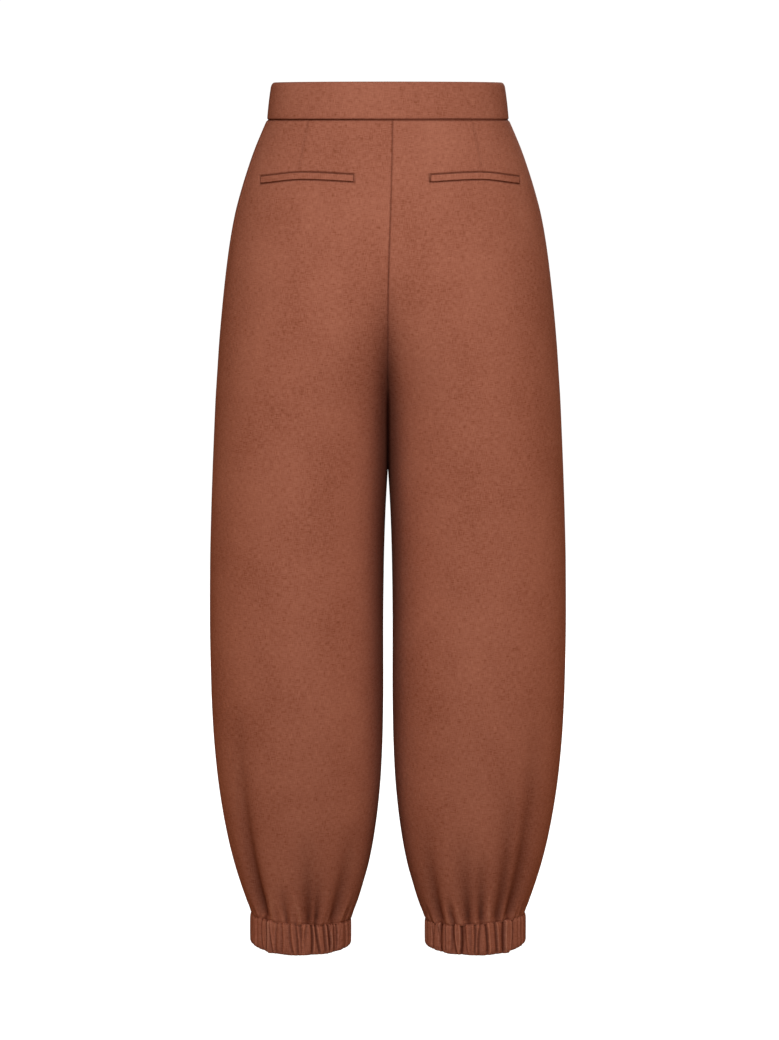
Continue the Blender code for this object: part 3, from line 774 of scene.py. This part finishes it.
def weltPiece(side, material):
    # A flat cushion bent along the pocket: its height over the panel is a rounded step that falls below
    # the panel at all four edges, so that the slit round it stays dark.
    first, last = welts["edge"][side][0][0], welts["edge"][side][-1][0]
    inset, sunk = welts["inset"], welts["sunk"]
    reach = (first + inset + (last - first - 2 * inset) * np.linspace(0, 1, welts["columns"]))[None, :]
    down = np.linspace(0, 1, welts["profileRows"])[:, None]
    (upper,) = readTable(welts["edge"][side], reach)
    drop = upper + inset + (welts["height"] - 2 * inset) * down
    reach = np.broadcast_to(reach, drop.shape)
    edge = -weltDistance(side, reach, drop) - inset
    out = -sunk + (welts["raised"] + sunk) * roundedEdge(edge, welts["rounding"])
    points = panelPoint(side, "back", reach, drop, out)
    uv = np.stack([reach * sideSign[side], -drop], axis=-1)
    # painted shade along the welt's edges, where they dip into the slit
    shade = paintedShades["weltEdge"] * (1 - smoothStep(edge, 0, welts["darkRim"]))
    piece = gridMesh(f"{side}PocketWelt", points, uv, shade, flip=side == "left")
    thicken(piece)
    flat = (last - first, welts["height"] + welts["turnedIn"])
    finishPiece(piece, material, f"welt_{side}", flat)


# The front fly: a lap on the wearer's right whose edge lies just past the centre seam.
fly = {
    "width": 0.034,
    "overlap": 0.0045,
    "length": 0.160,
    "curve": 0.046,  # height over which the lower end turns in
    "narrowest": 0.009,
    "rows": 120,
    "columns": 40,
    "edgeRaised": 0.0002,
    "raised": 0.0014,
    "rounding": 0.0012,
    "darkRim": 0.0010,
    "filled": 0.9,  # of the cut's rectangle
}


def flyPiece(material):
    # rows across the front, from just left of the centre seam to an edge on the right that is a quarter
    # ellipse below
    down = np.linspace(0, 1, fly["rows"])[:, None] * fly["length"]
    past = np.clip(down - (fly["length"] - fly["curve"]), 0, None) / fly["curve"]
    width = fly["narrowest"] + (fly["width"] + fly["overlap"] - fly["narrowest"]) * np.sqrt(1 - past**2)
    across = fly["overlap"] - width * np.linspace(0, 1, fly["columns"])[None, :]
    drop = legs["top"] + cloth["seamGap"] + down + 0 * across
    fromEdge = np.minimum(fly["overlap"] - across, width - (fly["overlap"] - across))
    fromEdge = np.minimum(fromEdge, np.minimum(down, fly["length"] - down) + 0 * across)
    out = fly["edgeRaised"] + (fly["raised"] - fly["edgeRaised"]) * roundedEdge(fromEdge, fly["rounding"])
    reach = np.maximum(np.abs(across), 0.0002)
    onLeft = panelPoint("left", "front", reach, drop, out)
    onRight = panelPoint("right", "front", reach, drop, out)
    points = np.where((across >= 0)[..., None], onLeft, onRight)
    uv = np.stack([across, -drop], axis=-1)
    # painted shade round the lap's edges
    shade = paintedShades["flyEdge"] * (1 - smoothStep(fromEdge, 0, fly["darkRim"]))
    piece = gridMesh("flyLap", points, uv, shade)
    thicken(piece)
    flat = (fly["width"] + fly["overlap"], fly["length"])
    finishPiece(piece, material, "fly_lap", flat)


def linear(hexColour):
    # an sRGB hex colour as linear light
    parts = [int(hexColour[i : i + 2], 16) / 255 for i in (1, 3, 5)]
    return (*[p / 12.92 if p <= 0.04045 else ((p + 0.055) / 1.055) ** 2.4 for p in parts], 1)


def addNode(tree, kind, settings=None, links=None, values=None):
    # one shader node, its settings, its sockets' values, and its links as {input: (node, output)}
    node = tree.nodes.new(kind)
    for key, value in (settings or {}).items():
        setattr(node, key, value)
    for key, value in (values or {}).items():
        node.inputs[key].default_value = value
    for key, (source, output) in (links or {}).items():
        tree.links.new(source.outputs[output], node.inputs[key])
    return node


# Linen and viscose, plain woven and piece dyed: dry and matt with a faint fuzz. Its yarns take the dye
# unevenly, so single threads and short slubs show lighter and darker both ways, which reads as a
# heathered terracotta brown.
linen = {
    "ramp": ((0.50, "#844A34"), (0.90, "#B2745D"), (0.70, "#A26450")),  # dark, light and middle yarns
    # the colour of the painted shade
    "paintedShadeColour": "#43160A",
    # the colour of the painted highlights
    "highlightColour": "#CE9478",
    "roughness": 0.9,
    "specular": 0.05,
    "sheen": 0.01,
    "sheenColour": "#D9A58C",
    "threadPitch": 0.0005,  # metres of cloth, as all the cells below, across by down
    "slubLength": 0.007,
    "longSlubCell": (0.055, 0.0011),
    "mottleCell": (0.005, 0.0035),
    "patchCell": (0.070, 0.090),
    "base": 0.105,  # the tone is this plus each pattern times its own share
    "threads": 0.37,
    "longSlubs": 0.08,
    "mottle": 0.18,
    "patches": 0.19,
    "bump": 0.4,
    "bumpHeight": 0.0005,
}


def wovenLinenBlend(name):
    material = bpy.data.materials.new(name)
    material.use_nodes = True
    tree = material.node_tree
    shader = tree.nodes["Principled BSDF"]
    shader.inputs["Roughness"].default_value = linen["roughness"]
    shader.inputs["IOR"].default_value = 1.5
    shader.inputs["Specular IOR Level"].default_value = linen["specular"]
    shader.inputs["Sheen Weight"].default_value = linen["sheen"]
    shader.inputs["Sheen Roughness"].default_value = 0.5
    shader.inputs["Sheen Tint"].default_value = linear(linen["sheenColour"])
    weave = addNode(tree, "ShaderNodeUVMap", {"uv_map": "weave"})

    def streaks(across, down, detail, place):
        # noise drawn out along the threads: one cell is across by down, in metres of cloth
        scaled = addNode(
            tree, "ShaderNodeMapping", None, {"Vector": (weave, "UV")},
            {"Scale": (1 / across, 1 / down, 1), "Location": (place, 2.7 * place, 0)},
        )
        return addNode(
            tree, "ShaderNodeTexNoise", {"noise_dimensions": "2D"}, {"Vector": (scaled, "Vector")},
            {"Scale": 1.0, "Detail": detail, "Roughness": 0.55},
        )

    def added(pattern, share, rest):
        # the pattern times its share, plus the tone so far
        node = addNode(tree, "ShaderNodeMath", {"operation": "MULTIPLY_ADD"}, {0: (pattern, 0)}, {1: share})
        if isinstance(rest, float):
            node.inputs[2].default_value = rest
        else:
            tree.links.new(rest.outputs[0], node.inputs[2])
        return node

    def mixed(amount, first, colour):
        return addNode(
            tree, "ShaderNodeMix", {"data_type": "RGBA"}, {"Factor": amount, 6: first}, {7: linear(colour)}
        )

    warp = streaks(linen["threadPitch"], linen["slubLength"], 1.0, 3.1)
    weft = streaks(linen["slubLength"], linen["threadPitch"], 1.0, 8.3)
    crossed = addNode(tree, "ShaderNodeMath", {"operation": "ADD"}, {0: (warp, 0), 1: (weft, 0)})
    threads = added(crossed, linen["threads"], linen["base"])
    tone = added(streaks(*linen["longSlubCell"], 1.0, 5.9), linen["longSlubs"], threads)
    tone = added(streaks(*linen["mottleCell"], 2.0, 1.7), linen["mottle"], tone)
    tone = added(streaks(*linen["patchCell"], 2.0, 9.4), linen["patches"], tone)
    ramp = addNode(tree, "ShaderNodeValToRGB", None, {"Fac": (tone, 0)})
    stops = ramp.color_ramp.elements
    dark, light, middle = linen["ramp"]
    stops[0].position, stops[0].color = dark[0], linear(dark[1])
    stops[1].position, stops[1].color = light[0], linear(light[1])
    stops.new(middle[0]).color = linear(middle[1])
    # The shade attribute darkens the woven colour towards the painted shade colour, and where it is below 0
    # pales it towards the painted highlight colour.
    paintedShading = addNode(tree, "ShaderNodeAttribute", {"attribute_name": "paintedShade"})
    darkened = mixed((paintedShading, "Fac"), (ramp, "Color"), linen["paintedShadeColour"])
    paler = addNode(tree, "ShaderNodeMath", {"operation": "MULTIPLY"}, {0: (paintedShading, "Fac")}, {1: -1.0})
    paled = mixed((paler, 0), (darkened, 2), linen["highlightColour"])
    tree.links.new(paled.outputs[2], shader.inputs["Base Color"])
    relief = addNode(
        tree, "ShaderNodeBump", None, {"Height": (threads, 0)},
        {"Strength": linen["bump"], "Distance": linen["bumpHeight"]},
    )
    tree.links.new(relief.outputs["Normal"], shader.inputs["Normal"])
    return material


# The studio: a plain pale floor that runs up into a round wall, a key softbox behind the garment's back,
# one on its front, a warm narrow one on each side and a weak even fill.
studio = {
    "floorBelowHem": 0.095,
    "floorRings": (0.0001, 1, 2, 3, 4),
    "floorRadius": 5.0,
    "coveRadius": 4.5,
    "floorColour": "#C8C7C5",
    "floorRoughness": 0.95,
    "floorGlow": 1.0,  # keeps it plain white, as the photo's cut-out ground
    "fill": 0.065,
    "warmth": "#FFD3A6",
    "keyPlace": (0.0, 2.4, 0.95),
    "keyAim": (0, 0, -0.25),
    "boxSize": 1.4,
    "keyPower": 60,
    "sidePlace": (2.2, 0.8, -0.9),
    "sideAim": (0, 0, -0.70),
    "sidePower": 3.0,
    "sideSpread": 80,
    "frontPlace": (-0.7, -3.2, 1.3),
    "frontAim": (0, 0, -0.40),
    "frontPower": 70,
}
camera = {
    "place": (-0.0018, 4.0, topEdge - 0.050),
    "pitchDegrees": 6.4188,
    "lens": 120.98,
    "sensor": 36,
}


def studioStage():
    # a turned surface: flat floor, a quarter circle up, and a quarter ellipse that closes over the set as
    # a dome
    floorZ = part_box("cuff_left")[0].z - studio["floorBelowHem"]
    turn = np.linspace(0, 2 * math.pi, 96, endpoint=False)[:, None]
    quarter = np.linspace(0, math.pi / 2, 24)
    rings, flat, cove = studio["floorRings"], studio["floorRadius"], studio["coveRadius"]
    radius = np.concatenate([rings, flat + cove * np.sin(quarter), (flat + cove) * np.cos(quarter[1:])])
    level = np.zeros(len(rings))
    height = np.concatenate([level, cove * (1 - np.cos(quarter)), cove + cove * np.sin(quarter[1:])])
    x, y = radius[None, :] * np.cos(turn), radius[None, :] * np.sin(turn)
    points = np.stack([x, y, floorZ + height + 0 * x], axis=-1)
    uv = np.zeros((points.shape[0] + 1, points.shape[1], 2))
    floor = gridMesh("paleFloor", points, uv, 0.0, flip=True, wrapRows=True)
    material = bpy.data.materials.new("matt white studio paint")
    material.use_nodes = True
    shader = material.node_tree.nodes["Principled BSDF"]
    shader.inputs["Base Color"].default_value = linear(studio["floorColour"])
    shader.inputs["Roughness"].default_value = studio["floorRoughness"]
    shader.inputs["Emission Color"].default_value = linear("#FFFFFF")
    shader.inputs["Emission Strength"].default_value = studio["floorGlow"]
    floor.data.materials.append(material)
    floor.visible_diffuse = False  # the floor receives light but throws none back on the cloth
    floor.visible_glossy = False
    floor.visible_shadow = False


def softbox(name, place, aim, power, colour="#FFFFFF", spread=180):
    light = bpy.data.lights.new(name, "AREA")
    light.shape, light.size, light.energy = "SQUARE", studio["boxSize"], power
    light.color = linear(colour)[:3]
    light.spread = math.radians(spread)
    box = bpy.data.objects.new(name, light)
    box.location = place
    box.rotation_euler = (Vector(aim) - Vector(place)).to_track_quat("-Z", "Y").to_euler()
    bpy.context.scene.collection.objects.link(box)


def lightsAndCamera():
    softbox("keySoftbox", studio["keyPlace"], studio["keyAim"], studio["keyPower"])
    softbox("frontSoftbox", studio["frontPlace"], studio["frontAim"], studio["frontPower"])
    out, back, up = studio["sidePlace"]
    for side, sign in sideSign.items():
        place, aim, power = (sign * out, back, up), studio["sideAim"], studio["sidePower"]
        softbox(f"{side}Softbox", place, aim, power, studio["warmth"], studio["sideSpread"])
    world = bpy.data.worlds.new("evenFill")
    world.use_nodes = True
    background = world.node_tree.nodes["Background"]
    background.inputs["Color"].default_value = linear(studio["warmth"])
    background.inputs["Strength"].default_value = studio["fill"]
    bpy.context.scene.world = world
    bpy.context.scene.view_settings.view_transform = "Standard"
    lens = bpy.data.cameras.new("camera")
    lens.sensor_width, lens.lens = camera["sensor"], camera["lens"]
    eye = bpy.data.objects.new("camera", lens)
    eye.location = camera["place"]
    eye.rotation_euler = (math.pi / 2 - math.radians(camera["pitchDegrees"]), 0, math.pi)
    bpy.context.scene.collection.objects.link(eye)
    bpy.context.scene.camera = eye


studioStage()
lightsAndCamera()
print("studio and camera ready")

panelLinen = wovenLinenBlend("woven linen blend, panels")
waistbandPiece(wovenLinenBlend("woven linen blend, interlined waistband"))
for side in sideSign:
    for face in faceSign:
        legPanel(side, face, panelLinen)
print("panels and waistband ready")

cuffLinen = wovenLinenBlend("woven linen blend, gathered cuffs")
for side in sideSign:
    cuffPiece(side, cuffLinen)
    weltPiece(side, panelLinen)
flyPiece(panelLinen)
print("cuffs, pocket welts and fly ready; cut sizes in millimetres:")
print({name: [round(1000 * size) for size in flat] for name, flat in sheets.items()})
